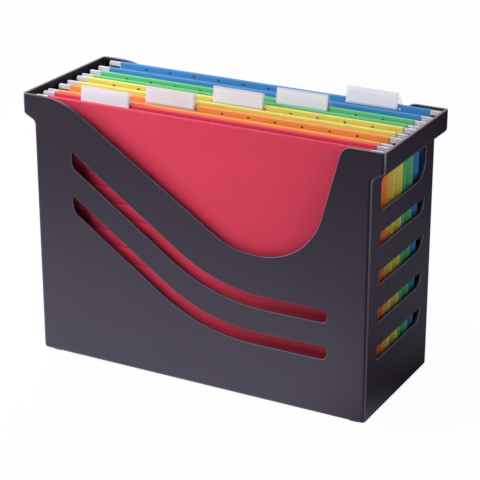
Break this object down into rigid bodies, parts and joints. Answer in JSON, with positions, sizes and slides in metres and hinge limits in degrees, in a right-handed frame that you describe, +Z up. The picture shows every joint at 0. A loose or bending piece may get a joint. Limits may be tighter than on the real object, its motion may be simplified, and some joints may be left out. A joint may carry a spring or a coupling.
{
  "type": "hanging file box",
  "caption": "Open-topped plastic box with a swept-down front wall, hand holes and slots, holding coloured hanging card files with index tabs on rails inside its rim.",
  "frame": {"origin": "centre of the bounding box on the surface the feet stand on", "axes": "+X along the box, -Y towards the front with the low red file, +Z up"},
  "size_m": [0.357, 0.138, 0.2615],
  "materials": {
    "box_plastic": "moulded charcoal polystyrene, fine matt",
    "red_card": "dyed kraft card, matt",
    "orange_card": "dyed kraft card, matt",
    "yellow_card": "dyed kraft card, matt",
    "green_card": "dyed kraft card, matt",
    "blue_card": "dyed kraft card, matt",
    "bar_plastic": "moulded white plastic",
    "clear_plastic": "clear flexible plastic",
    "label_paper": "plain white paper"
  },
  "bodies": {
    "box": {"box": "box_plastic"},
    "red_file": {"red_rear_leaf": "red_card", "red_rear_bar": "bar_plastic", "red_tab": "clear_plastic", "red_label": "label_paper"},
    "red_file_front": {"red_front_leaf": "red_card", "red_front_bar": "bar_plastic"},
    "orange_file": {"orange_rear_leaf": "orange_card", "orange_rear_bar": "bar_plastic", "orange_tab": "clear_plastic", "orange_label": "label_paper"},
    "orange_file_front": {"orange_front_leaf": "orange_card", "orange_front_bar": "bar_plastic"},
    "yellow_file": {"yellow_rear_leaf": "yellow_card", "yellow_rear_bar": "bar_plastic", "yellow_tab": "clear_plastic", "yellow_label": "label_paper"},
    "yellow_file_front": {"yellow_front_leaf": "yellow_card", "yellow_front_bar": "bar_plastic"},
    "green_file": {"green_rear_leaf": "green_card", "green_rear_bar": "bar_plastic", "green_tab": "clear_plastic", "green_label": "label_paper"},
    "green_file_front": {"green_front_leaf": "green_card", "green_front_bar": "bar_plastic"},
    "blue_file": {"blue_rear_leaf": "blue_card", "blue_rear_bar": "bar_plastic", "blue_tab": "clear_plastic", "blue_label": "label_paper"},
    "blue_file_front": {"blue_front_leaf": "blue_card", "blue_front_bar": "bar_plastic"}
  },
  "joints": [
    {"name": "red_file_lift", "type": "slide", "parent": "box", "child": "red_file", "axis": [0, 0, 1], "range_m": [0, 0.265]},
    {"name": "red_file_open", "type": "hinge", "parent": "red_file", "child": "red_file_front", "pos_m": [0, -0.0536, 0.0065], "axis": [1, 0, 0], "range_deg": [-1, 1]},
    {"name": "orange_file_lift", "type": "slide", "parent": "box", "child": "orange_file", "axis": [0, 0, 1], "range_m": [0, 0.265]},
    {"name": "orange_file_open", "type": "hinge", "parent": "orange_file", "child": "orange_file_front", "pos_m": [0, -0.0311, 0.0065], "axis": [1, 0, 0], "range_deg": [-2.5, 0.6]},
    {"name": "yellow_file_lift", "type": "slide", "parent": "box", "child": "yellow_file", "axis": [0, 0, 1], "range_m": [0, 0.265]},
    {"name": "yellow_file_open", "type": "hinge", "parent": "yellow_file", "child": "yellow_file_front", "pos_m": [0, -0.0012, 0.0065], "axis": [1, 0, 0], "range_deg": [-1.9, 1.7]},
    {"name": "green_file_lift", "type": "slide", "parent": "box", "child": "green_file", "axis": [0, 0, 1], "range_m": [0, 0.265]},
    {"name": "green_file_open", "type": "hinge", "parent": "green_file", "child": "green_file_front", "pos_m": [0, 0.02245, 0.0065], "axis": [1, 0, 0], "range_deg": [-1.7, 0.8]},
    {"name": "blue_file_lift", "type": "slide", "parent": "box", "child": "blue_file", "axis": [0, 0, 1], "range_m": [0, 0.265]},
    {"name": "blue_file_open", "type": "hinge", "parent": "blue_file", "child": "blue_file_front", "pos_m": [0, 0.05435, 0.0065], "axis": [1, 0, 0], "range_deg": [-2.9, 1.5]}
  ]
}
